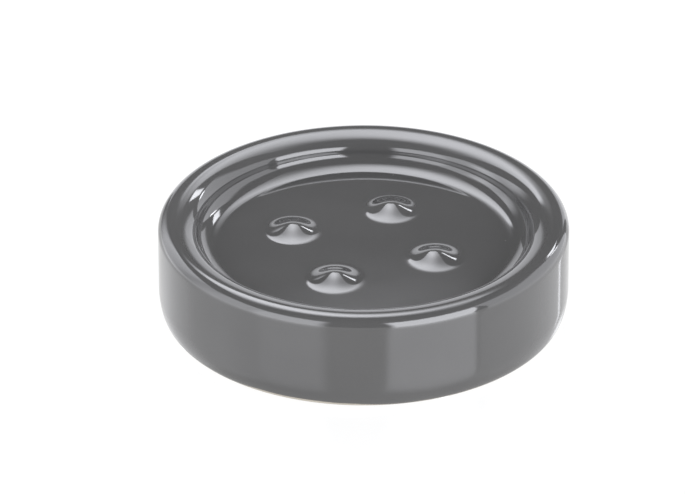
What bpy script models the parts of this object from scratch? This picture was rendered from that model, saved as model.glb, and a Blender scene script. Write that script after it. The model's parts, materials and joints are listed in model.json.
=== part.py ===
"""Round glazed ceramic soap dish: one fired body on four small anti-slip pads.

Metres, +Z up. The origin is on the surface that the dish stands on, below the
centre of the bowl. The four nubs lie on the X and Y axes.
"""

import math

import bmesh
import bpy
import numpy as np

# Outside of the body
RIM_RADIUS = 0.0573
BASE_RADIUS = 0.0575
BODY_HEIGHT = 0.0275

# Rim, seen in section: a broad roll into the bowl and a tighter roll outside
RIM_OUTER_ROLL_IN = 0.0029
RIM_OUTER_ROLL_DOWN = 0.0032
RIM_CREST_WIDTH = 0.0007
RIM_INNER_ROLL_IN = 0.0066
RIM_INNER_ROLL_DOWN = 0.0039

# Bowl
BOWL_DEPTH = 0.0080
BOWL_WALL_DRAFT = math.radians(8)
FLOOR_FILLET_IN = 0.0058
FLOOR_FILLET_UP = 0.0036
FLOOR_DISH = 0.0003

# Nubs that hold the soap off the wet floor
NUB_COUNT = 4
NUB_RING_RADIUS = 0.0213
NUB_RADIUS = 0.0070
NUB_HEIGHT = 0.0020
NUB_BELL_SHARE = 0.85

# Foot and the hollow under the floor
FOOT_ROLL_IN = 0.0021
FOOT_ROLL_UP = 0.0076
FOOT_LAND_WIDTH = 0.0056
FOOT_INNER_ROLL = 0.0009
FLOOR_THICKNESS = 0.0052
RECESS_DRAFT = math.radians(5)
RECESS_FILLET = 0.0040

# Anti-slip pads under the foot
PAD_COUNT = 4
PAD_THICKNESS = 0.0008
PAD_EDGE_MARGIN = 0.0004
PAD_EDGE_ROUND = 0.0002
PAD_FIRST_ANGLE = math.radians(45)
SEAT_GAP = 0.0003

# Fineness of the turned shapes
TURN_STEPS = 72
NUB_STEPS = 28
PAD_STEPS = 24
ROLL_POINTS = 7
FLOOR_RINGS = 3
NUB_RINGS = 8
MERGE_DISTANCE = 0.00001

# Heights that follow from the sizes above
FOOT_HEIGHT = PAD_THICKNESS + SEAT_GAP
TOP_HEIGHT = FOOT_HEIGHT + BODY_HEIGHT
FLOOR_HEIGHT = TOP_HEIGHT - BOWL_DEPTH
CEILING_HEIGHT = FLOOR_HEIGHT - FLOOR_DISH - FLOOR_THICKNESS

# Radii that follow from the sizes above
WALL_TOP_RADIUS = RIM_RADIUS - RIM_OUTER_ROLL_IN - RIM_CREST_WIDTH - RIM_INNER_ROLL_IN
WALL_FOOT_RADIUS = WALL_TOP_RADIUS - BOWL_DEPTH * math.tan(BOWL_WALL_DRAFT)
FLOOR_FLAT_RADIUS = WALL_FOOT_RADIUS - FLOOR_FILLET_IN
LAND_OUTER_RADIUS = BASE_RADIUS - FOOT_ROLL_IN
LAND_INNER_RADIUS = LAND_OUTER_RADIUS - FOOT_LAND_WIDTH
RECESS_MOUTH_RADIUS = LAND_INNER_RADIUS - FOOT_INNER_ROLL
RECESS_TOP_RADIUS = RECESS_MOUTH_RADIUS - (CEILING_HEIGHT - FOOT_HEIGHT) * math.tan(RECESS_DRAFT)
PAD_RING_RADIUS = (LAND_OUTER_RADIUS + LAND_INNER_RADIUS) / 2
PAD_RADIUS = FOOT_LAND_WIDTH / 2 - PAD_EDGE_MARGIN


def blend(before, corner, after, reach_in, reach_out):
    """Points of the quarter ellipse that rounds a corner and is tangent to both its legs."""
    before, corner, after = np.array(before), np.array(corner), np.array(after)
    leg_in = before - corner
    leg_out = after - corner
    start = corner + leg_in * reach_in / np.linalg.norm(leg_in)
    end = corner + leg_out * reach_out / np.linalg.norm(leg_out)
    middle = start + end - corner
    turn = np.linspace(0.0, math.pi / 2, ROLL_POINTS)
    return [tuple(middle + (corner - end) * math.cos(t) + (corner - start) * math.sin(t)) for t in turn]


def floor_height(radius):
    """Height of the bowl's slightly dished floor at a distance from its centre."""
    return FLOOR_HEIGHT - FLOOR_DISH * (1 - (radius / FLOOR_FLAT_RADIUS) ** 2)


def body_section():
    """Half section of the body, from the floor's centre over the rim to the underside's centre."""
    floor_centre = (0.0, FLOOR_HEIGHT)
    floor_edge = (WALL_FOOT_RADIUS, FLOOR_HEIGHT)
    rim_inner = (WALL_TOP_RADIUS, TOP_HEIGHT)
    rim_outer = (RIM_RADIUS, TOP_HEIGHT)
    foot_outer = (BASE_RADIUS, FOOT_HEIGHT)
    foot_inner = (RECESS_MOUTH_RADIUS, FOOT_HEIGHT)
    recess_edge = (RECESS_TOP_RADIUS, CEILING_HEIGHT)
    recess_centre = (0.0, CEILING_HEIGHT)

    wall_length = BOWL_DEPTH / math.cos(BOWL_WALL_DRAFT)
    wall_share = min(1.0, wall_length / (FLOOR_FILLET_UP + RIM_INNER_ROLL_DOWN))
    fillet_up = FLOOR_FILLET_UP * wall_share
    roll_down = RIM_INNER_ROLL_DOWN * wall_share

    rings = [FLOOR_FLAT_RADIUS * ring / FLOOR_RINGS for ring in range(FLOOR_RINGS)]
    section = [(radius, floor_height(radius)) for radius in rings]
    section += blend(floor_centre, floor_edge, rim_inner, FLOOR_FILLET_IN, fillet_up)
    section += blend(floor_edge, rim_inner, rim_outer, roll_down, RIM_INNER_ROLL_IN)
    section += blend(rim_inner, rim_outer, foot_outer, RIM_OUTER_ROLL_IN, RIM_OUTER_ROLL_DOWN)
    section += blend(rim_outer, foot_outer, foot_inner, FOOT_ROLL_UP, FOOT_ROLL_IN)
    section += blend(foot_outer, foot_inner, recess_edge, FOOT_INNER_ROLL, FOOT_INNER_ROLL)
    section += blend(foot_inner, recess_edge, recess_centre, RECESS_FILLET, RECESS_FILLET)
    section.append(recess_centre)
    return section


def nub_section():
    """Half section of one nub about its own axis: a soft bell that runs on down into the floor."""
    skirt = (1 - NUB_BELL_SHARE ** 2) ** 2
    crown = NUB_HEIGHT / (1 - skirt)
    spread = NUB_RADIUS / NUB_BELL_SHARE
    root = -FLOOR_THICKNESS / 3
    section = []
    for ring in range(NUB_RINGS + 1):
        share = ring / NUB_RINGS
        section.append((spread * share, crown * ((1 - share ** 2) ** 2 - skirt)))
    section.append((spread, root))
    section.append((0.0, root))
    return section


def collection(name):
    """A new collection in the scene."""
    group = bpy.data.collections.new(name)
    bpy.context.scene.collection.children.link(group)
    return group


def material(name, colour, roughness):
    """A plain glossy or matt finish, without metal."""
    finish = bpy.data.materials.new(name)
    finish.use_nodes = True
    shader = finish.node_tree.nodes["Principled BSDF"]
    shader.inputs["Base Color"].default_value = (*colour, 1.0)
    shader.inputs["Roughness"].default_value = roughness
    shader.inputs["Metallic"].default_value = 0.0
    return finish


def turned(name, section, steps, group):
    """An object turned from a half section that starts and ends on the axis."""
    mesh = bpy.data.meshes.new(name)
    edges = [(i, i + 1) for i in range(len(section) - 1)]
    mesh.from_pydata([(x, 0.0, z) for x, z in section], edges, [])
    turned_object = bpy.data.objects.new(name, mesh)
    group.objects.link(turned_object)
    screw = turned_object.modifiers.new("turn", "SCREW")
    screw.axis = "Z"
    screw.angle = math.tau
    screw.steps = steps
    screw.render_steps = steps
    screw.use_merge_vertices = True
    screw.merge_threshold = MERGE_DISTANCE
    screw.use_smooth_shade = True
    return turned_object


def make_body(dish, cutters):
    """The fired body: the turned shell with its nubs grown out of the floor."""
    body = turned("dish_body", body_section(), TURN_STEPS, dish)
    body.data.materials.append(material("grey_glaze", (0.115, 0.117, 0.121), 0.06))
    for number in range(NUB_COUNT):
        angle = math.tau * number / NUB_COUNT
        nub = turned("nub_form_%d" % (number + 1), nub_section(), NUB_STEPS, cutters)
        nub.location = (
            NUB_RING_RADIUS * math.cos(angle),
            NUB_RING_RADIUS * math.sin(angle),
            floor_height(NUB_RING_RADIUS),
        )
        nub.hide_render = True
        nub.display_type = "WIRE"
        join = body.modifiers.new("nub_%d" % (number + 1), "BOOLEAN")
        join.operation = "UNION"
        join.solver = "EXACT"
        join.object = nub
    return body


def make_pads(dish, parent):
    """The round pads under the foot's flat land, which the dish stands on."""
    silicone = material("clear_silicone", (0.62, 0.63, 0.62), 0.35)

    shape = bmesh.new()
    bmesh.ops.create_cone(
        shape,
        cap_ends=True,
        segments=PAD_STEPS,
        radius1=PAD_RADIUS,
        radius2=PAD_RADIUS,
        depth=PAD_THICKNESS,
    )
    mesh = bpy.data.meshes.new("antislip_pad")
    shape.to_mesh(mesh)
    shape.free()
    mesh.materials.append(silicone)
    mesh.shade_smooth()
    mesh.set_sharp_from_angle(angle=math.radians(40))

    for number in range(PAD_COUNT):
        angle = PAD_FIRST_ANGLE + math.tau * number / PAD_COUNT
        pad = bpy.data.objects.new("antislip_pad_%d" % (number + 1), mesh)
        dish.objects.link(pad)
        pad.parent = parent
        pad.location = (
            PAD_RING_RADIUS * math.cos(angle),
            PAD_RING_RADIUS * math.sin(angle),
            PAD_THICKNESS / 2,
        )
        edge = pad.modifiers.new("edge", "BEVEL")
        edge.width = PAD_EDGE_ROUND
        edge.segments = 2
        edge.limit_method = "ANGLE"


def main():
    for old in list(bpy.data.objects):
        bpy.data.objects.remove(old, do_unlink=True)

    dish = collection("soap_dish")
    cutters = collection("soap_dish_forms")

    base = bpy.data.objects.new("soap_dish_base", None)
    base.empty_display_size = 0.02
    dish.objects.link(base)

    body = make_body(dish, cutters)
    body.parent = base
    make_pads(dish, base)
    bpy.context.view_layer.update()


main()
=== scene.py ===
"""Finished model of a round grey glazed soap dish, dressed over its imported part.

Metres, +Z up. The body is one turned form with nubs set by rule and the pads
are a ring of one shape, so Geometry Nodes make both. The nubs lie on the X and
Y axes. The pale table, the light and the camera belong to the stage.
"""

import json
import math
from typing import NamedTuple

import bpy
from bpy.props import FloatProperty, FloatVectorProperty, IntProperty, PointerProperty
from mathutils import Matrix, Vector

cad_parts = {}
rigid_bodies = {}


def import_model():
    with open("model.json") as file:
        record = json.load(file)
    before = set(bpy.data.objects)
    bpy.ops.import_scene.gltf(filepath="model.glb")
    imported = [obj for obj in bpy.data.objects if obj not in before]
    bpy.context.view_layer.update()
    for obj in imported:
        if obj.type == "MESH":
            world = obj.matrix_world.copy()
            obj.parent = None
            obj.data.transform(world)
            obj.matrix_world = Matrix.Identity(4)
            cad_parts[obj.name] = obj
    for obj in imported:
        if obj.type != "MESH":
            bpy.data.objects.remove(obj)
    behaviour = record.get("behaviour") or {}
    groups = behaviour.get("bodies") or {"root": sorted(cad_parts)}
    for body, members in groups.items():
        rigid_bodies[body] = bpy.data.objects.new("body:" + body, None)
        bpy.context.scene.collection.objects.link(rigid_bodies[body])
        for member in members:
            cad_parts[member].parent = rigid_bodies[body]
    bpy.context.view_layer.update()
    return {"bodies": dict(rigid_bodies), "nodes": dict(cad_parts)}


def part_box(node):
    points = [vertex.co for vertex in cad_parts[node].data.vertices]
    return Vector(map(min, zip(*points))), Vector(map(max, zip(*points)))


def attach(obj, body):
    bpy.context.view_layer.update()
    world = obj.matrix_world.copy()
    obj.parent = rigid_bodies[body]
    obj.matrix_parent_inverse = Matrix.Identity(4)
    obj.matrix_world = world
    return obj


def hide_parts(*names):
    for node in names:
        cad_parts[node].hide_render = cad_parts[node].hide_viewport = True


bl_info = {
    "name": "Glazed Soap Dish",
    "version": (1, 0, 0),
    "blender": (4, 5, 0),
    "location": "3D View > Sidebar > Soap Dish",
    "description": "Builds a round glazed ceramic soap dish with nubs, bare foot and anti-slip pads",
    "category": "Add Mesh",
}

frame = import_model()

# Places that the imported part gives
BODY_LOW, BODY_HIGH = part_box("dish_body")
PAD_NODES = sorted(name for name in frame["nodes"] if name.startswith("antislip_pad_"))
PAD_LOW, PAD_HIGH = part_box(PAD_NODES[0])
PAD_MIDDLE = (PAD_LOW + PAD_HIGH) / 2
FOOT_HEIGHT = BODY_LOW.z
TOP_HEIGHT = BODY_HIGH.z
PAD_RING_RADIUS = math.hypot(PAD_MIDDLE.x, PAD_MIDDLE.y)
PAD_FIRST_ANGLE = math.atan2(PAD_MIDDLE.y, PAD_MIDDLE.x)
PAD_RADIUS = (PAD_HIGH.x - PAD_LOW.x) / 2

# Fineness of the turned forms
BODY_TURN_STEPS = 288
PAD_TURN_STEPS = 40
ROLL_POINTS = 16
FLOOR_STEP = 0.0005
WALL_STEP = 0.0012
SEAM_DISTANCE = 0.000001

# Nubs: the power that makes a soft bell of a dome
NUB_BELL_POWER = 3.0

# Wobble: it sets in between these shares of the height, so that the foot stays flat
WOBBLE_FROM = 0.05
WOBBLE_FULL = 0.30
WOBBLE_DETAIL = 1.0

# Pads: the stuck edge is so many times tighter, and the dimple starts so many edge roundings in
STUCK_EDGE_RATIO = 3
PAD_LAND_MARGIN = 2

# Camera of the photograph, round the middle of the ceramic
CAMERA_AZIMUTH = math.radians(21.6)
CAMERA_ELEVATION = math.radians(29.51)
CAMERA_DISTANCE = 1.4039
CAMERA_LENS_MM = 263.6
CAMERA_SENSOR_MM = 36.0
CAMERA_TURN_LEFT = 0.0042
CAMERA_TURN_UP = 0.0027
CAMERA_CLIP_START = 0.1
CAMERA_CLIP_END = 20.0

# Places of the two colours and of their blend among a mix node's sockets
MIX_FIRST = 6
MIX_SECOND = 7
MIX_RESULT = 2


class Grain(NamedTuple):
    """Soft noise on a surface: swellings a metre, octaves, seed, and the levels that become 0 and 1."""

    scale: float
    detail: float
    seed: float
    low: float = 0.0
    high: float = 1.0


# Glaze. Its relief is counted in steps of one height
GLAZE_IOR = 1.6
GLAZE_POOLING = Grain(38.0, 2.0, 1.0, 0.35, 0.68)
GLAZE_GRAIN = Grain(1400.0, 2.0, 5.0, 0.25, 0.75)
POOLING_SHARE = 0.75
GRAIN_SHARE = 0.25
GLAZE_SMEAR = Grain(120.0, 3.0, 9.0, 0.30, 0.75)
SMEAR_ROUGHNESS = 0.02
GLAZE_RIPPLE = Grain(170.0, 1.0, 11.0)
COAT_STEPS = 3.0
RELIEF_STEP = 0.000004

# Pale specks in a few cells of the glaze. Their core and rim are shares of a cell
SPECK_CELLS = 300.0
SPECK_CHOSEN_OVER = 0.93
SPECK_CORE = 0.03
SPECK_RIM = 0.075
SPECK_STRENGTH = 0.45
SPECK_COLOUR = (0.24, 0.235, 0.225)
SPECK_PIT_STEPS = -0.5

# End of the glaze over the clay
WIPED_CORE_SHARE = 0.45
RAGGED_LINE = Grain(90.0, 3.0, 3.0)
RAGGED_HEIGHT = 0.0007
GLAZE_END_BLUR = 0.00008
GLAZE_EDGE_WIDTH = 0.00035
GLAZE_EDGE_STRENGTH = 0.8

# Bare clay
CLAY_GRAIN = Grain(2600.0, 3.0, 7.0, 0.30, 0.72)
CLAY_DARK_SHARE = 0.80

# Silicone
SILICONE_IOR = 1.41
SILICONE_CLOUD = Grain(420.0, 2.0, 2.0, 0.30, 0.70)
SILICONE_DUSTY_SHARE = 0.86
SILICONE_SATIN = Grain(1800.0, 2.0, 4.0, 0.2, 0.8)
SILICONE_ROUGHNESS = (0.28, 0.46)
SILICONE_SKIN = Grain(5200.0, 2.0, 6.0)
SILICONE_SKIN_DEPTH = 0.000008
SILICONE_MILK_SHARE = 0.5
SILICONE_MILK_DEPTH = 0.0009

# Table
TABLE_IOR = 2.0


class LightBox(NamedTuple):
    """An upright box of light that faces the dish.

    Angles in degrees. The middle is 0 straight behind the dish as the camera sees it, and positive to
    the camera's right. low and high are over the horizon. Left and right are as the dish sees the box.
    A fade is the share of the box over which its light sinks to nothing on that side, and low_share is
    the brightness of its bottom against its top. left_low and right_low say how much further in a side
    stands at the bottom than at the top, as a share of the width.
    """

    middle: float
    half_width: float
    high: float
    radiance: float
    distance: float = 1.2
    low: float = 0.0
    left_fade: float = 0.0
    right_fade: float = 0.0
    top_fade: float = 0.2
    low_share: float = 1.0
    left_low: float = 0.0
    right_low: float = 0.0


# Studio light
LIGHT_COLOUR = (0.975, 0.985, 1.04)
LIGHT_BOXES = {
    "front_right_box": LightBox(
        140.6, 30.3, 47, 7.7, left_fade=0.04, right_fade=0.09, top_fade=0.37, left_low=0.19, right_low=0.07
    ),
    "front_left_box": LightBox(-140.5, 22.5, 47, 4.45, left_fade=0.20, right_fade=0.20, top_fade=0.37),
    "left_wall": LightBox(-98.3, 28.3, 44, 3.1, left_fade=0.17, right_fade=0.5, top_fade=0.12),
    "near_panel": LightBox(
        -60, 40.7, 44, 3.15, distance=0.161, left_fade=0.35, right_fade=0.25, top_fade=0.05,
        low_share=0.55, right_low=0.40,
    ),
    "back_low": LightBox(-3.5, 16.5, 24, 1.25, top_fade=0.30),
    "back_right_low": LightBox(22, 9, 24, 1.5, top_fade=0.30),
    "back_lamp": LightBox(27, 9, 37, 9.0, low=32, left_fade=0.20, right_fade=0.20),
    "back_strip": LightBox(39.5, 1.6, 33.5, 12.0, low=25.5, left_fade=0.20, right_fade=0.20),
    "back_right_wall": LightBox(57, 18, 46, 1.9),
    "right_wall": LightBox(94, 19, 46, 1.9),
}

# Softbox that hangs close over the back of the dish, and where its middle hangs
SOFTBOX_LEFT = 0.030
SOFTBOX_BEHIND = 0.205
SOFTBOX_HEIGHT = 0.331
SOFTBOX_TILT = math.radians(48)
SOFTBOX_RADIANCE = 6.4

# How far its face reaches from that middle. All lengths below are on its face, in metres
SOFTBOX_SIDE = 0.20
SOFTBOX_TOP = 0.235
SOFTBOX_BOTTOM = 0.178

# Slanting sides of its light: the place across at the middle's height, and the shift per metre down
SOFTBOX_LEFT_EDGE = (-0.111, 0.53)
SOFTBOX_RIGHT_EDGE = (0.137, -0.43)
SOFTBOX_EDGE_BLUR = 0.008

# Lower end of its light, which changes from crisp to soft between two places across
SOFTBOX_CRISP_END = 0.163
SOFTBOX_CRISP_FADE = 0.014
SOFTBOX_SOFT_FADE = 0.078
SOFTBOX_CRISP_UP_TO = -0.005
SOFTBOX_SOFT_FROM = 0.030

# Brightness left at its sides and lower end, and shares of its side and top over which it sinks
SOFTBOX_SIDE_SHARE = 0.25
SOFTBOX_BOTTOM_SHARE = 0.75
SOFTBOX_SIDE_REACH = 0.75
SOFTBOX_TOP_REACH = 1.15


def length(name, description, default):
    """A length property in metres."""
    return FloatProperty(
        name=name, description=description, default=default, min=0.0, precision=5, unit="LENGTH"
    )


def share(name, description, default):
    """A plain number property between nothing and one."""
    return FloatProperty(name=name, description=description, default=default, min=0.0, max=1.0, precision=3)


def colour(name, description, default):
    """A colour property, as the linear values of red, green and blue."""
    return FloatVectorProperty(
        name=name, description=description, default=default, min=0.0, max=1.0, size=3, subtype="COLOR"
    )


class DishSizes(bpy.types.PropertyGroup):
    """Sizes of the turned body and its nubs."""

    rim_radius: length("Rim radius", "Outer radius just under the rolled rim", 0.0573)
    base_radius: length("Base radius", "Outer radius above the rolled foot", 0.0575)
    rim_outer_in: length("Outer roll width", "How far the rim's outer roll reaches in", 0.0029)
    rim_outer_down: length("Outer roll height", "How far the rim's outer roll reaches down", 0.0032)
    rim_crest: length("Crest width", "Width between the two rolls of the rim", 0.0007)
    rim_inner_in: length("Inner roll width", "How far the rim's inner roll reaches in", 0.0066)
    rim_inner_down: length("Inner roll height", "How far the rim's inner roll reaches down", 0.0039)
    bowl_depth: length("Bowl depth", "From the crest of the rim down to the floor", 0.0080)
    wall_draft: FloatProperty(
        name="Wall draft", description="Slope of the bowl's wall", default=math.radians(8), subtype="ANGLE"
    )
    fillet_in: length("Floor fillet width", "How far the floor's fillet reaches in", 0.0058)
    fillet_up: length("Floor fillet height", "How far the floor's fillet reaches up", 0.0036)
    floor_dish: length("Floor dish", "How much lower the floor's centre is than its edge", 0.0003)
    floor_thickness: length("Floor thickness", "Ceramic under the centre of the floor", 0.0052)
    foot_roll_in: length("Foot roll width", "How far the lower edge rolls in", 0.0021)
    foot_roll_up: length("Foot roll height", "How far the lower edge rolls up", 0.0076)
    foot_land: length("Foot width", "Width of the flat ring that carries the pads", 0.0056)
    foot_inner_roll: length("Foot inner roll", "Rounding between the foot and the recess", 0.0009)
    recess_draft: FloatProperty(
        name="Recess draft", description="Slope of the recess wall", default=math.radians(5), subtype="ANGLE"
    )
    recess_fillet: length("Recess fillet", "Rounding between the recess wall and its ceiling", 0.0040)
    nub_count: IntProperty(name="Nubs", description="Number of nubs in the bowl", default=4, min=1, max=12)
    nub_ring: length("Nub ring radius", "From the centre to the middle of a nub", 0.0213)
    nub_radius: length("Nub radius", "Where a nub's glaze runs out into the floor", 0.0092)
    nub_height: length("Nub height", "Height of a nub over the floor", 0.0020)
    wobble: length("Hand wobble", "How far the fired form strays from the turned one", 0.00003)
    wobble_size: length("Wobble size", "Distance from one such swelling to the next", 0.022)
    rim_lift: length("Rim lift", "How far the fired rim rises on its high side", 0.0001)
    lift_angle: FloatProperty(
        name="Lift side", description="Direction of the rim's high side", default=math.radians(-20),
        subtype="ANGLE",
    )
    seed: IntProperty(name="Seed", description="Chooses the pattern of the wobble", default=4)


class GlazeFinish(bpy.types.PropertyGroup):
    """Colours and gloss of the fired body."""

    glaze: colour("Glaze", "Neutral grey of the thick glaze", (0.0460, 0.0456, 0.0448))
    glaze_pale: colour("Thin glaze", "Where the glaze lies a little thinner", (0.0515, 0.0510, 0.0500))
    edge: colour("Glaze edge", "Warm line where the glaze ends on the clay", (0.19, 0.165, 0.135))
    clay: colour("Bare clay", "Cream of the unglazed foot", (0.34, 0.312, 0.262))
    gloss_roughness: share("Glaze roughness", "Roughness of the wet looking glaze", 0.045)
    clay_roughness: share("Clay roughness", "Roughness of the fired clay", 0.82)
    line_height: length("Glaze line", "Height of the glaze line over the foot", 0.00042)
    line_rise: length("Line rise", "How much higher the line is where the foot was wiped", 0.00055)
    rise_angle: FloatProperty(
        name="Wiped side", description="Direction of the wiped stretch", default=math.radians(-85),
        subtype="ANGLE",
    )
    rise_width: FloatProperty(
        name="Wiped width", description="Half the angle of the wiped stretch", default=math.radians(24),
        subtype="ANGLE",
    )


class PadSizes(bpy.types.PropertyGroup):
    """Sizes and colour of the anti-slip pads."""

    count: IntProperty(name="Pads", description="Number of pads", default=len(PAD_NODES), min=3, max=12)
    ring: length("Pad ring radius", "From the centre to the middle of a pad", PAD_RING_RADIUS)
    radius: length("Pad radius", "Outer radius of a pad", PAD_RADIUS)
    edge_round: length("Edge rounding", "Rounding of the moulded lower edge", 0.00028)
    dimple: length("Dimple depth", "Depth of the moulded dish in the lower face", 0.00006)
    stray: length("Hand placement", "How far a pad sits from its ideal place", 0.00012)
    seed: IntProperty(name="Seed", description="Chooses how the pads stray", default=2)
    silicone: colour("Silicone", "Milky colour of the pads", (0.62, 0.63, 0.62))


class StageLook(bpy.types.PropertyGroup):
    """Table and light round the dish."""

    table: colour("Table", "Colour of the pale table", (0.06, 0.06, 0.06))
    table_glow: FloatProperty(
        name="Table glow", description="Light through the table", default=0.91, min=0.0
    )
    table_roughness: share("Table roughness", "Roughness of the table's satin sheet", 0.13)
    table_reach: length("Table reach", "Half the width of the table", 4.0)
    room: FloatProperty(name="Room light", description="Dim light from over the set", default=0.28, min=0.0)


class NodeSheet:
    """Adds nodes to a tree, with values or links for their inputs."""

    def __init__(self, tree):
        self.tree = tree

    def add(self, kind, inputs=None, **settings):
        """A new node. Inputs go by name or number, and a socket among the values is linked."""
        node = self.tree.nodes.new(kind)
        for key, value in settings.items():
            setattr(node, key, value)
        for key, value in (inputs or {}).items():
            if isinstance(value, bpy.types.NodeSocket):
                self.tree.links.new(value, node.inputs[key])
            else:
                node.inputs[key].default_value = value
        return node

    def math(self, operation, *values, clamp=False):
        """The result of one sum."""
        node = self.add("ShaderNodeMath", dict(enumerate(values)), operation=operation, use_clamp=clamp)
        return node.outputs[0]

    def split(self, vector):
        """The X, Y and Z of a vector."""
        return self.add("ShaderNodeSeparateXYZ", {0: vector}).outputs

    def join(self, x, y, z):
        """A vector of three values."""
        return self.add("ShaderNodeCombineXYZ", {0: x, 1: y, 2: z}).outputs[0]

    def ramp(self, value, low, high, from_value=0.0, to_value=1.0):
        """Goes smoothly from one value to another while the input goes from low to high."""
        node = self.add(
            "ShaderNodeMapRange",
            {"Value": value, "From Min": low, "From Max": high, "To Min": from_value, "To Max": to_value},
            interpolation_type="SMOOTHSTEP",
        )
        return node.outputs[0]

    def noise(self, vector, scale, detail, seed):
        """Soft noise from nothing to one, at so many swellings a metre."""
        node = self.add(
            "ShaderNodeTexNoise",
            {"Vector": vector, "W": seed, "Scale": scale, "Detail": detail},
            noise_dimensions="4D",
        )
        return node.outputs[0]

    def grain(self, vector, grain):
        """Soft noise of one kind."""
        return self.noise(vector, grain.scale, grain.detail, grain.seed)

    def stretched_grain(self, vector, grain, from_value=0.0, to_value=1.0):
        """Soft noise of one kind, with its levels stretched between two values."""
        return self.ramp(self.grain(vector, grain), grain.low, grain.high, from_value, to_value)

    def mix(self, factor, first, second):
        """A colour between two."""
        node = self.add("ShaderNodeMix", {0: factor}, data_type="RGBA")
        for key, value in ((MIX_FIRST, first), (MIX_SECOND, second)):
            if isinstance(value, bpy.types.NodeSocket):
                self.tree.links.new(value, node.inputs[key])
            else:
                node.inputs[key].default_value = (*value, 1.0)
        return node.outputs[MIX_RESULT]


def add_object(name, data):
    """A new object in the scene."""
    thing = bpy.data.objects.new(name, data)
    bpy.context.scene.collection.objects.link(thing)
    return thing


def new_tree(name, inputs):
    """An empty Geometry Nodes tree with named inputs, and a sheet to fill it with."""
    tree = bpy.data.node_groups.new(name, "GeometryNodeTree")
    tree.interface.new_socket("Section", in_out="INPUT", socket_type="NodeSocketGeometry")
    for label, kind in inputs:
        tree.interface.new_socket(label, in_out="INPUT", socket_type="NodeSocket" + kind)
    tree.interface.new_socket("Mesh", in_out="OUTPUT", socket_type="NodeSocketGeometry")
    sheet = NodeSheet(tree)
    given = sheet.add("NodeGroupInput").outputs
    return tree, sheet, given


def end_tree(sheet, mesh, finish):
    """Ends a tree with smooth faces, real geometry and its material."""
    smooth = sheet.add("GeometryNodeSetShadeSmooth", {"Geometry": mesh}).outputs[0]
    real = sheet.add("GeometryNodeRealizeInstances", {"Geometry": smooth}).outputs[0]
    painted = sheet.add("GeometryNodeSetMaterial", {"Geometry": real, "Material": finish}).outputs[0]
    sheet.add("NodeGroupOutput", {0: painted})


def turning(sheet, section, steps):
    """A sheet with a row for each point of the section, and its points' angles, radii and heights."""
    rows = sheet.add("GeometryNodeAttributeDomainSize", {"Geometry": section}).outputs["Point Count"]
    columns = sheet.math("ADD", steps, 1.0)
    grid = sheet.add(
        "GeometryNodeMeshGrid", {"Size X": 1.0, "Size Y": 1.0, "Vertices X": columns, "Vertices Y": rows}
    )
    place = sheet.split(sheet.add("GeometryNodeInputPosition").outputs[0])
    angle = sheet.math("MULTIPLY", sheet.math("ADD", place[0], 0.5), math.tau)
    last_row = sheet.math("SUBTRACT", rows, 1.0)
    row = sheet.math("ROUND", sheet.math("MULTIPLY", sheet.math("ADD", place[1], 0.5), last_row))
    sample = sheet.add("GeometryNodeSampleIndex", {"Geometry": section}, data_type="FLOAT_VECTOR")
    sheet.tree.links.new(sheet.add("GeometryNodeInputPosition").outputs[0], sample.inputs["Value"])
    sheet.tree.links.new(row, sample.inputs["Index"])
    point = sheet.split(sample.outputs[0])
    return grid.outputs[0], angle, point[0], point[2]


def turned(sheet, grid, angle, radius, height):
    """The sheet wrapped round the axis, closed along its seam and at its poles, with its faces outward."""
    x = sheet.math("MULTIPLY", radius, sheet.math("COSINE", angle))
    y = sheet.math("MULTIPLY", radius, sheet.math("SINE", angle))
    wrapped = sheet.add("GeometryNodeSetPosition", {"Geometry": grid, "Position": sheet.join(x, y, height)})
    closed = sheet.add(
        "GeometryNodeMergeByDistance", {"Geometry": wrapped.outputs[0], "Distance": SEAM_DISTANCE}
    )
    return sheet.add("GeometryNodeFlipFaces", {"Mesh": closed.outputs[0]}).outputs[0]


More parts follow.
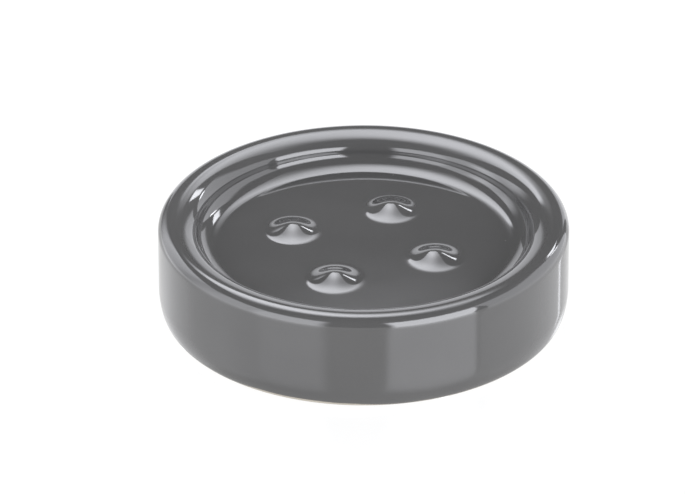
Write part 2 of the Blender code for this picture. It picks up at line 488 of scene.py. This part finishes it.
def dish_tree():
    """Turns the dish from its section, raises the nubs and lets the form stray a little by hand."""
    tree, sheet, given = new_tree(
        "turned_dish",
        [
            ("Turn Steps", "Int"), ("Nub Count", "Int"), ("Nub Ring Radius", "Float"),
            ("Nub Radius", "Float"), ("Nub Height", "Float"), ("Nub Level", "Float"),
            ("Foot Height", "Float"), ("Top Height", "Float"), ("Base Radius", "Float"),
            ("Wobble", "Float"), ("Wobble Scale", "Float"), ("Rim Lift", "Float"),
            ("Lift Angle", "Float"), ("Seed", "Int"), ("Finish", "Material"),
        ],
    )
    grid, angle, radius, height = turning(sheet, given["Section"], given["Turn Steps"])

    pitch = sheet.math("DIVIDE", math.tau, given["Nub Count"])
    half_pitch = sheet.math("DIVIDE", pitch, 2.0)
    turn = sheet.math("FLOORED_MODULO", sheet.math("ADD", angle, half_pitch), pitch)
    turn = sheet.math("SUBTRACT", turn, half_pitch)
    outward = sheet.math("MULTIPLY", radius, sheet.math("COSINE", turn))
    outward = sheet.math("SUBTRACT", outward, given["Nub Ring Radius"])
    sideways = sheet.math("MULTIPLY", radius, sheet.math("SINE", turn))
    outward_square = sheet.math("MULTIPLY", outward, outward)
    sideways_square = sheet.math("MULTIPLY", sideways, sideways)
    away = sheet.math("SQRT", sheet.math("ADD", outward_square, sideways_square))
    away = sheet.math("DIVIDE", away, given["Nub Radius"], clamp=True)
    dome = sheet.math("SUBTRACT", 1.0, sheet.math("MULTIPLY", away, away))
    bell = sheet.math("POWER", dome, NUB_BELL_POWER)
    on_top = sheet.math("GREATER_THAN", height, given["Nub Level"])
    raised = sheet.math("MULTIPLY", sheet.math("MULTIPLY", bell, given["Nub Height"]), on_top)
    body = turned(sheet, grid, angle, radius, sheet.math("ADD", height, raised))

    position = sheet.add("GeometryNodeInputPosition").outputs[0]
    normal = sheet.add("GeometryNodeInputNormal").outputs[0]
    place = sheet.split(position)
    over_foot = sheet.math("SUBTRACT", place[2], given["Foot Height"])
    full_height = sheet.math("SUBTRACT", given["Top Height"], given["Foot Height"])
    raised_share = sheet.math("DIVIDE", over_foot, full_height, clamp=True)
    free = sheet.ramp(raised_share, WOBBLE_FROM, WOBBLE_FULL)
    swell = sheet.noise(position, given["Wobble Scale"], WOBBLE_DETAIL, given["Seed"])
    swell = sheet.math("MULTIPLY", sheet.math("SUBTRACT", swell, 0.5), 2.0)
    swell = sheet.math("MULTIPLY", sheet.math("MULTIPLY", swell, given["Wobble"]), free)
    offset = sheet.add("ShaderNodeVectorMath", {0: normal, "Scale": swell}, operation="SCALE").outputs[0]
    body = sheet.add("GeometryNodeSetPosition", {"Geometry": body, "Offset": offset}).outputs[0]

    side = sheet.math("SUBTRACT", sheet.math("ARCTAN2", place[1], place[0]), given["Lift Angle"])
    reach = sheet.math("MULTIPLY", place[0], place[0])
    reach = sheet.math("SQRT", sheet.math("ADD", reach, sheet.math("MULTIPLY", place[1], place[1])))
    lift = sheet.math("MULTIPLY", sheet.math("COSINE", side), given["Rim Lift"])
    lift = sheet.math("MULTIPLY", lift, sheet.math("DIVIDE", reach, given["Base Radius"]))
    lift = sheet.math("MULTIPLY", lift, raised_share)
    body = sheet.add("GeometryNodeSetPosition", {"Geometry": body, "Offset": sheet.join(0.0, 0.0, lift)})
    end_tree(sheet, body.outputs[0], given["Finish"])
    return tree


def pad_tree():
    """Turns one pad from its section and sets a ring of them under the foot, each a little off its place."""
    tree, sheet, given = new_tree(
        "pad_ring",
        [
            ("Turn Steps", "Int"), ("Pad Count", "Int"), ("Ring Radius", "Float"),
            ("First Angle", "Float"), ("Stray", "Float"), ("Seed", "Int"), ("Finish", "Material"),
        ],
    )
    grid, angle, radius, height = turning(sheet, given["Section"], given["Turn Steps"])
    pad = turned(sheet, grid, angle, radius, height)

    ring = sheet.add(
        "GeometryNodeMeshCircle", {"Vertices": given["Pad Count"], "Radius": given["Ring Radius"]}
    )
    turn = sheet.join(0.0, 0.0, given["First Angle"])
    placed = sheet.add("GeometryNodeTransform", {"Geometry": ring.outputs[0], "Rotation": turn}).outputs[0]
    back = sheet.math("MULTIPLY", given["Stray"], -1.0)
    low, high = sheet.join(back, back, 0.0), sheet.join(given["Stray"], given["Stray"], 0.0)
    random = sheet.add(
        "FunctionNodeRandomValue", {"Min": low, "Max": high, "Seed": given["Seed"]}, data_type="FLOAT_VECTOR"
    )
    strayed = sheet.add("GeometryNodeSetPosition", {"Geometry": placed, "Offset": random.outputs[0]})
    pads = sheet.add("GeometryNodeInstanceOnPoints", {"Points": strayed.outputs[0], "Instance": pad})
    end_tree(sheet, pads.outputs[0], given["Finish"])
    return tree


def grown(name, section, tree, values):
    """The plain mesh object that a tree makes of a section."""
    line = bpy.data.meshes.new(name + "_section")
    edges = [(number, number + 1) for number in range(len(section) - 1)]
    line.from_pydata([(radius, 0.0, height) for radius, height in section], edges, [])
    source = add_object(name + "_section", line)
    modifier = source.modifiers.new(tree.name, "NODES")
    modifier.node_group = tree
    sockets = tree.interface.items_tree
    identifiers = {item.name: item.identifier for item in sockets if item.in_out == "INPUT"}
    for label, value in values.items():
        modifier[identifiers[label]] = value
    graph = bpy.context.evaluated_depsgraph_get()
    mesh = bpy.data.meshes.new_from_object(source.evaluated_get(graph))
    bpy.data.objects.remove(source, do_unlink=True)
    bpy.data.meshes.remove(line)
    if len(mesh.polygons) == 0:
        raise RuntimeError("the tree %s made no faces for %s" % (tree.name, name))
    mesh.name = name
    return add_object(name, mesh)


def blend(before, corner, after, reach_in, reach_out):
    """Points of the quarter ellipse that rounds a corner and is tangent to both its legs."""
    before, corner, after = Vector(before), Vector(corner), Vector(after)
    start = corner + (before - corner).normalized() * reach_in
    end = corner + (after - corner).normalized() * reach_out
    middle = start + end - corner
    points = []
    for number in range(ROLL_POINTS):
        turn = math.pi / 2 * number / (ROLL_POINTS - 1)
        point = middle + (corner - end) * math.cos(turn) + (corner - start) * math.sin(turn)
        points.append(tuple(point))
    return points


def stretch(start, end, step):
    """Points between two others, at about one step from each other and without the two themselves."""
    start, end = Vector(start), Vector(end)
    parts = max(1, math.ceil((end - start).length / step))
    return [tuple(start.lerp(end, number / parts)) for number in range(1, parts)]


def dish_section(sizes):
    """Half section of the body, from the floor's centre over the rim to the underside's centre."""
    floor_height = TOP_HEIGHT - sizes.bowl_depth
    ceiling_height = floor_height - sizes.floor_dish - sizes.floor_thickness
    wall_top = sizes.rim_radius - sizes.rim_outer_in - sizes.rim_crest - sizes.rim_inner_in
    wall_foot = wall_top - sizes.bowl_depth * math.tan(sizes.wall_draft)
    floor_flat = wall_foot - sizes.fillet_in
    recess_mouth = sizes.base_radius - sizes.foot_roll_in - sizes.foot_land - sizes.foot_inner_roll
    recess_top = recess_mouth - (ceiling_height - FOOT_HEIGHT) * math.tan(sizes.recess_draft)

    floor_centre = (0.0, floor_height)
    floor_edge = (wall_foot, floor_height)
    rim_inner = (wall_top, TOP_HEIGHT)
    rim_outer = (sizes.rim_radius, TOP_HEIGHT)
    foot_outer = (sizes.base_radius, FOOT_HEIGHT)
    foot_inner = (recess_mouth, FOOT_HEIGHT)
    recess_edge = (recess_top, ceiling_height)
    recess_centre = (0.0, ceiling_height)

    wall_length = sizes.bowl_depth / math.cos(sizes.wall_draft)
    wall_share = min(1.0, wall_length / (sizes.fillet_up + sizes.rim_inner_down))
    fillet_up = sizes.fillet_up * wall_share
    roll_down = sizes.rim_inner_down * wall_share

    rings = round(floor_flat / FLOOR_STEP)
    section = []
    for ring in range(rings):
        out = ring / rings
        section.append((floor_flat * out, floor_height - sizes.floor_dish * (1 - out ** 2)))
    corners = (
        blend(floor_centre, floor_edge, rim_inner, sizes.fillet_in, fillet_up),
        blend(floor_edge, rim_inner, rim_outer, roll_down, sizes.rim_inner_in),
        blend(rim_inner, rim_outer, foot_outer, sizes.rim_outer_in, sizes.rim_outer_down),
        blend(rim_outer, foot_outer, foot_inner, sizes.foot_roll_up, sizes.foot_roll_in),
        blend(foot_outer, foot_inner, recess_edge, sizes.foot_inner_roll, sizes.foot_inner_roll),
        blend(foot_inner, recess_edge, recess_centre, sizes.recess_fillet, sizes.recess_fillet),
    )
    for number, corner in enumerate(corners):
        if number > 0:
            section += stretch(section[-1], corner[0], WALL_STEP)
        section += corner
    section += stretch(section[-1], recess_centre, WALL_STEP)
    section.append(recess_centre)
    return section


def pad_section(pads):
    """Half section of a pad, from the middle of its stuck face over its edge to that of its lower face."""
    top = (pads.radius, FOOT_HEIGHT)
    bottom = (pads.radius, 0.0)
    stuck_round = pads.edge_round / STUCK_EDGE_RATIO
    section = [(0.0, FOOT_HEIGHT)]
    section += blend(section[0], top, bottom, stuck_round, stuck_round)
    section += blend(top, bottom, (0.0, 0.0), pads.edge_round, pads.edge_round)
    land = pads.radius - PAD_LAND_MARGIN * pads.edge_round
    section.append((land, 0.0))
    for number in range(1, ROLL_POINTS):
        inward = number / (ROLL_POINTS - 1)
        section.append((land * (1 - inward), pads.dimple * math.sin(inward * math.pi / 2)))
    return section


def shader_of(name):
    """A new material, a sheet on its nodes, its shader node and its object coordinates."""
    finish = bpy.data.materials.new(name)
    finish.use_nodes = True
    sheet = NodeSheet(finish.node_tree)
    shader = finish.node_tree.nodes["Principled BSDF"]
    place = sheet.add("ShaderNodeTexCoord").outputs["Object"]
    return finish, sheet, shader, place


def end_shader(sheet, shader, colour_link, roughness, relief, step):
    """Links a colour, a roughness and a relief to a shader. A step is the relief's height at one."""
    bump = sheet.add("ShaderNodeBump", {"Height": relief, "Strength": 1.0, "Distance": step})
    for label, link in (("Base Color", colour_link), ("Roughness", roughness), ("Normal", bump.outputs[0])):
        sheet.tree.links.new(link, shader.inputs[label])


def bare_foot(sheet, place, look):
    """How bare the clay is, from nothing on the glaze to one on the foot, and how near the glaze ends."""
    x, y, z = sheet.split(place)
    side = sheet.math("ABSOLUTE", sheet.math("SUBTRACT", sheet.math("ARCTAN2", y, x), look.rise_angle))
    wiped = sheet.ramp(side, look.rise_width * WIPED_CORE_SHARE, look.rise_width, 1.0, 0.0)
    wave = sheet.math("SUBTRACT", sheet.grain(place, RAGGED_LINE), 0.5)
    line = sheet.math("MULTIPLY_ADD", wiped, look.line_rise, FOOT_HEIGHT + look.line_height)
    line = sheet.math("MULTIPLY_ADD", wave, RAGGED_HEIGHT, line)
    over = sheet.math("SUBTRACT", z, line)
    bare = sheet.ramp(over, -GLAZE_END_BLUR, GLAZE_END_BLUR, 1.0, 0.0)
    near = sheet.ramp(sheet.math("ABSOLUTE", over), 0.0, GLAZE_EDGE_WIDTH, 1.0, 0.0)
    return bare, near


def glaze_specks(sheet, place):
    """How much of a pale speck there is, from nothing to one, in a few cells of the glaze."""
    cells = sheet.add(
        "ShaderNodeTexVoronoi", {"Vector": place, "Scale": SPECK_CELLS, "Randomness": 1.0}, feature="F1"
    )
    chosen = sheet.math("GREATER_THAN", sheet.split(cells.outputs["Color"])[0], SPECK_CHOSEN_OVER)
    speck = sheet.ramp(cells.outputs["Distance"], SPECK_CORE, SPECK_RIM, 1.0, 0.0)
    return sheet.math("MULTIPLY", speck, chosen)


def glaze_material(look):
    """Wet looking grey glaze that ends in a thin line over the bare cream clay of the foot."""
    finish, sheet, shader, place = shader_of("grey_glaze_fired")
    bare, near = bare_foot(sheet, place, look)

    pooling = sheet.stretched_grain(place, GLAZE_POOLING)
    grain = sheet.stretched_grain(place, GLAZE_GRAIN)
    thin = sheet.math("MULTIPLY_ADD", grain, GRAIN_SHARE, sheet.math("MULTIPLY", pooling, POOLING_SHARE))
    glaze = sheet.mix(thin, look.glaze, look.glaze_pale)
    speck = glaze_specks(sheet, place)
    glaze = sheet.mix(sheet.math("MULTIPLY", speck, SPECK_STRENGTH), glaze, SPECK_COLOUR)
    glaze = sheet.mix(sheet.math("MULTIPLY", near, GLAZE_EDGE_STRENGTH), glaze, look.edge)

    clay_grain = sheet.stretched_grain(place, CLAY_GRAIN)
    clay_dark = [value * CLAY_DARK_SHARE for value in look.clay]
    clay = sheet.mix(clay_grain, clay_dark, look.clay)
    base = sheet.mix(bare, glaze, clay)

    smear = sheet.stretched_grain(place, GLAZE_SMEAR, 0.0, SMEAR_ROUGHNESS)
    gloss = sheet.math("ADD", smear, look.gloss_roughness)
    roughness = sheet.add(
        "ShaderNodeMapRange",
        {"Value": bare, "From Min": 0.0, "From Max": 1.0, "To Min": gloss, "To Max": look.clay_roughness},
    ).outputs[0]

    ripple = sheet.grain(place, GLAZE_RIPPLE)
    pit = sheet.math("MULTIPLY", speck, SPECK_PIT_STEPS)
    skin = sheet.math("ADD", ripple, pit)
    coat = sheet.ramp(bare, 0.0, 1.0, COAT_STEPS, 0.0)
    relief = sheet.math("ADD", sheet.math("MULTIPLY", bare, clay_grain), sheet.math("ADD", skin, coat))
    end_shader(sheet, shader, base, roughness, relief, RELIEF_STEP)
    shader.inputs["IOR"].default_value = GLAZE_IOR
    return finish


def silicone_material(pads):
    """Milky moulded silicone with a fine satin skin that has picked up a little dust."""
    finish, sheet, shader, place = shader_of("milky_silicone")
    cloud = sheet.stretched_grain(place, SILICONE_CLOUD)
    dusty = [value * SILICONE_DUSTY_SHARE for value in pads.silicone]
    base = sheet.mix(cloud, dusty, pads.silicone)
    roughness = sheet.stretched_grain(place, SILICONE_SATIN, *SILICONE_ROUGHNESS)
    end_shader(sheet, shader, base, roughness, sheet.grain(place, SILICONE_SKIN), SILICONE_SKIN_DEPTH)
    shader.inputs["IOR"].default_value = SILICONE_IOR
    shader.inputs["Subsurface Weight"].default_value = SILICONE_MILK_SHARE
    shader.inputs["Subsurface Radius"].default_value = (SILICONE_MILK_DEPTH,) * 3
    shader.inputs["Subsurface Scale"].default_value = 1.0
    return finish


def table_material(look):
    """Satin white sheet, lit a little from below."""
    finish = bpy.data.materials.new("white_table_sheet")
    finish.use_nodes = True
    shader = finish.node_tree.nodes["Principled BSDF"]
    shader.inputs["Base Color"].default_value = (*look.table, 1.0)
    shader.inputs["Roughness"].default_value = look.table_roughness
    shader.inputs["IOR"].default_value = TABLE_IOR
    shader.inputs["Emission Color"].default_value = (1.0, 1.0, 1.0, 1.0)
    shader.inputs["Emission Strength"].default_value = look.table_glow
    return finish


def add_table(look):
    """The pale table that the dish stands on."""
    reach = look.table_reach
    mesh = bpy.data.meshes.new("table_top")
    corners = [(-reach, -reach, 0.0), (reach, -reach, 0.0), (reach, reach, 0.0), (-reach, reach, 0.0)]
    mesh.from_pydata(corners, [], [(0, 1, 2, 3)])
    mesh.materials.append(table_material(look))
    table = add_object("table_top", mesh)


def view_direction(azimuth):
    """Level direction at an angle to the right of straight behind the dish, as the camera sees it."""
    ahead = Vector((-math.sin(CAMERA_AZIMUTH), math.cos(CAMERA_AZIMUTH), 0.0))
    right = Vector((math.cos(CAMERA_AZIMUTH), math.sin(CAMERA_AZIMUTH), 0.0))
    return ahead * math.cos(azimuth) + right * math.sin(azimuth)


def add_area_light(name, width, height, radiance):
    """A rectangular light of even radiance, and the object that holds it."""
    light = bpy.data.lights.new(name, "AREA")
    light.shape = "RECTANGLE"
    light.size = width
    light.size_y = height
    light.energy = radiance * math.pi * light.size * light.size_y
    light.color = LIGHT_COLOUR
    light.use_nodes = True
    lamp = add_object(name, light)
    lamp.rotation_mode = "QUATERNION"
    return light, lamp


def places_on(light):
    """A sheet on a light's nodes, and a place on its face: 0 to 1 from right to left and up from below."""
    sheet = NodeSheet(light.node_tree)
    x, y, _ = sheet.split(sheet.add("ShaderNodeNewGeometry").outputs["Parametric"])
    return sheet, x, y


def fade_edges(light, box):
    """Fades an upright light towards its edges."""
    sheet, x, y = places_on(light)
    strength = sheet.ramp(y, 1.0 - box.top_fade, 1.0, 1.0, 0.0)
    strength = sheet.math("MULTIPLY", strength, sheet.ramp(y, 0.0, 1.0, box.low_share, 1.0))
    if box.left_fade > 0:
        inside = sheet.math("SUBTRACT", 1.0 - box.left_low, sheet.math("MULTIPLY_ADD", y, -box.left_low, x))
        strength = sheet.math("MULTIPLY", strength, sheet.ramp(inside, 0.0, box.left_fade))
    if box.right_fade > 0:
        inside = sheet.math("SUBTRACT", x, sheet.math("MULTIPLY_ADD", y, -box.right_low, box.right_low))
        strength = sheet.math("MULTIPLY", strength, sheet.ramp(inside, 0.0, box.right_fade))
    sheet.tree.links.new(strength, light.node_tree.nodes["Emission"].inputs["Strength"])


def add_light_box(name, box):
    """Sets up one upright box of light."""
    direction = view_direction(math.radians(box.middle))
    bottom = box.distance * math.tan(math.radians(box.low))
    top = box.distance * math.tan(math.radians(box.high))
    width = 2 * box.distance * math.tan(math.radians(box.half_width))
    light, lamp = add_area_light(name, width, top - bottom, box.radiance)
    fade_edges(light, box)
    lamp.location = direction * box.distance + Vector((0.0, 0.0, (bottom + top) / 2))
    lamp.rotation_quaternion = (-direction).to_track_quat("-Z", "Y")


def shape_softbox(light):
    """Gives a rectangular light slanting sides and its brightest place in the middle."""
    sheet, x, y = places_on(light)
    across = sheet.math("MULTIPLY_ADD", x, -2 * SOFTBOX_SIDE, SOFTBOX_SIDE)
    down = sheet.math("MULTIPLY_ADD", y, -(SOFTBOX_TOP + SOFTBOX_BOTTOM), SOFTBOX_BOTTOM)
    left = sheet.math("MULTIPLY_ADD", down, SOFTBOX_LEFT_EDGE[1], SOFTBOX_LEFT_EDGE[0])
    right = sheet.math("MULTIPLY_ADD", down, SOFTBOX_RIGHT_EDGE[1], SOFTBOX_RIGHT_EDGE[0])
    inside_left = sheet.math("SUBTRACT", across, left)
    inside_right = sheet.math("SUBTRACT", right, across)
    crisp_end = sheet.ramp(down, SOFTBOX_CRISP_END - SOFTBOX_CRISP_FADE, SOFTBOX_CRISP_END, 1.0, 0.0)
    soft_end = sheet.ramp(down, SOFTBOX_BOTTOM - SOFTBOX_SOFT_FADE, SOFTBOX_BOTTOM, 1.0, 0.0)
    softness = sheet.ramp(across, SOFTBOX_CRISP_UP_TO, SOFTBOX_SOFT_FROM)
    lower_end = sheet.math("MULTIPLY_ADD", sheet.math("SUBTRACT", soft_end, crisp_end), softness, crisp_end)
    side_reach = SOFTBOX_SIDE_REACH * SOFTBOX_SIDE
    top_reach = SOFTBOX_TOP_REACH * SOFTBOX_TOP
    shares = (
        lower_end,
        sheet.ramp(inside_left, -SOFTBOX_EDGE_BLUR, SOFTBOX_EDGE_BLUR),
        sheet.ramp(inside_right, -SOFTBOX_EDGE_BLUR, SOFTBOX_EDGE_BLUR),
        sheet.ramp(sheet.math("ABSOLUTE", across), 0.0, side_reach, 1.0, SOFTBOX_SIDE_SHARE),
        sheet.ramp(down, 0.0, SOFTBOX_BOTTOM, 1.0, SOFTBOX_BOTTOM_SHARE),
        sheet.ramp(down, -top_reach, 0.0),
    )
    strength = shares[0]
    for share_of_light in shares[1:]:
        strength = sheet.math("MULTIPLY", strength, share_of_light)
    sheet.tree.links.new(strength, light.node_tree.nodes["Emission"].inputs["Strength"])


def add_softbox():
    """The near softbox that draws the bright line along the crest of the rim."""
    light, lamp = add_area_light(
        "back_softbox", 2 * SOFTBOX_SIDE, SOFTBOX_TOP + SOFTBOX_BOTTOM, SOFTBOX_RADIANCE
    )
    shape_softbox(light)
    ahead, right, up = view_direction(0.0), view_direction(math.pi / 2), Vector((0.0, 0.0, 1.0))
    facing = ahead * -math.sin(SOFTBOX_TILT) - up * math.cos(SOFTBOX_TILT)
    rising = up * math.sin(SOFTBOX_TILT) - ahead * math.cos(SOFTBOX_TILT)
    lamp.location = ahead * SOFTBOX_BEHIND - right * SOFTBOX_LEFT + up * SOFTBOX_HEIGHT
    lamp.location += rising * (SOFTBOX_TOP - SOFTBOX_BOTTOM) / 2
    lamp.rotation_quaternion = facing.to_track_quat("-Z", "Y")


def add_room(look):
    """The dim even light over the set, and a plain rendering of its values."""
    world = bpy.data.worlds.new("dim_room")
    world.use_nodes = True
    world.node_tree.nodes["Background"].inputs["Color"].default_value = (1.0, 1.0, 1.0, 1.0)
    world.node_tree.nodes["Background"].inputs["Strength"].default_value = look.room
    bpy.context.scene.world = world
    bpy.context.scene.view_settings.view_transform = "Standard"


def add_camera():
    """The camera at the photograph's angle, turned a little off the middle of the dish."""
    middle = Vector((0.0, 0.0, (FOOT_HEIGHT + TOP_HEIGHT) / 2))
    back = view_direction(0.0) * -math.cos(CAMERA_ELEVATION)
    back.z = math.sin(CAMERA_ELEVATION)
    data = bpy.data.cameras.new("photo_camera")
    data.sensor_width = CAMERA_SENSOR_MM
    data.lens = CAMERA_LENS_MM
    data.clip_start = CAMERA_CLIP_START
    data.clip_end = CAMERA_CLIP_END
    camera = add_object("photo_camera", data)
    facing = (-back).to_track_quat("-Z", "Y").to_matrix().to_4x4()
    turn_left = Matrix.Rotation(CAMERA_TURN_LEFT, 4, "Y")
    turn_up = Matrix.Rotation(CAMERA_TURN_UP, 4, "X")
    camera.matrix_world = Matrix.Translation(middle + back * CAMERA_DISTANCE) @ facing @ turn_left @ turn_up
    bpy.context.scene.camera = camera


class SOAPDISH_OT_body(bpy.types.Operator):
    """Make the glazed body with its nubs"""

    bl_idname = "soapdish.body"
    bl_label = "Glazed Body"

    def execute(self, context):
        sizes = context.scene.soapdish_sizes
        values = {
            "Turn Steps": BODY_TURN_STEPS,
            "Nub Count": sizes.nub_count,
            "Nub Ring Radius": sizes.nub_ring,
            "Nub Radius": sizes.nub_radius,
            "Nub Height": sizes.nub_height,
            "Nub Level": TOP_HEIGHT - sizes.bowl_depth - sizes.floor_dish - sizes.floor_thickness / 2,
            "Foot Height": FOOT_HEIGHT,
            "Top Height": TOP_HEIGHT,
            "Base Radius": sizes.base_radius,
            "Wobble": sizes.wobble,
            "Wobble Scale": 1 / sizes.wobble_size,
            "Rim Lift": sizes.rim_lift,
            "Lift Angle": sizes.lift_angle,
            "Seed": sizes.seed,
            "Finish": glaze_material(context.scene.soapdish_glaze),
        }
        body = grown("glazed_body", dish_section(sizes), dish_tree(), values)
        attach(body, "root")
        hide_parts("dish_body")
        return {"FINISHED"}


class SOAPDISH_OT_pads(bpy.types.Operator):
    """Make the ring of anti-slip pads under the foot"""

    bl_idname = "soapdish.pads"
    bl_label = "Anti-slip Pads"

    def execute(self, context):
        pads = context.scene.soapdish_pads
        values = {
            "Turn Steps": PAD_TURN_STEPS,
            "Pad Count": pads.count,
            "Ring Radius": pads.ring,
            "First Angle": PAD_FIRST_ANGLE,
            "Stray": pads.stray,
            "Seed": pads.seed,
            "Finish": silicone_material(pads),
        }
        ring = grown("silicone_pads", pad_section(pads), pad_tree(), values)
        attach(ring, "root")
        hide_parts(*PAD_NODES)
        return {"FINISHED"}


class SOAPDISH_OT_stage(bpy.types.Operator):
    """Set up the pale table, the studio light and the camera"""

    bl_idname = "soapdish.stage"
    bl_label = "Stage"

    def execute(self, context):
        look = context.scene.soapdish_stage
        add_table(look)
        for name, box in LIGHT_BOXES.items():
            add_light_box(name, box)
        add_softbox()
        add_room(look)
        add_camera()
        return {"FINISHED"}


class SOAPDISH_PT_panel(bpy.types.Panel):
    """Sizes, finishes and steps of the soap dish"""

    bl_idname = "SOAPDISH_PT_panel"
    bl_label = "Soap Dish"
    bl_space_type = "VIEW_3D"
    bl_region_type = "UI"
    bl_category = "Soap Dish"

    def draw(self, context):
        for operator in OPERATORS:
            self.layout.operator(operator.bl_idname)
        for holder, kind in SETTINGS.items():
            box = self.layout.box()
            settings = getattr(context.scene, holder)
            for key in kind.__annotations__:
                box.prop(settings, key)


SETTINGS = {
    "soapdish_sizes": DishSizes,
    "soapdish_glaze": GlazeFinish,
    "soapdish_pads": PadSizes,
    "soapdish_stage": StageLook,
}
OPERATORS = (SOAPDISH_OT_body, SOAPDISH_OT_pads, SOAPDISH_OT_stage)


def register():
    """Makes the classes and their settings known."""
    for kind in (*SETTINGS.values(), *OPERATORS, SOAPDISH_PT_panel):
        bpy.utils.register_class(kind)
    for holder, kind in SETTINGS.items():
        setattr(bpy.types.Scene, holder, PointerProperty(type=kind))


def unregister():
    """Removes what register made known."""
    for holder in SETTINGS:
        delattr(bpy.types.Scene, holder)
    for kind in reversed((*SETTINGS.values(), *OPERATORS, SOAPDISH_PT_panel)):
        bpy.utils.unregister_class(kind)


def remove_start_objects():
    """Clears what a new file starts with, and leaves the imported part."""
    kept = set(frame["nodes"].values()) | set(frame["bodies"].values())
    for thing in list(bpy.data.objects):
        if thing not in kept:
            bpy.data.objects.remove(thing, do_unlink=True)


def main():
    register()
    remove_start_objects()
    bpy.ops.soapdish.body()
    bpy.ops.soapdish.pads()
    bpy.ops.soapdish.stage()


if __name__ == "__main__":
    main()
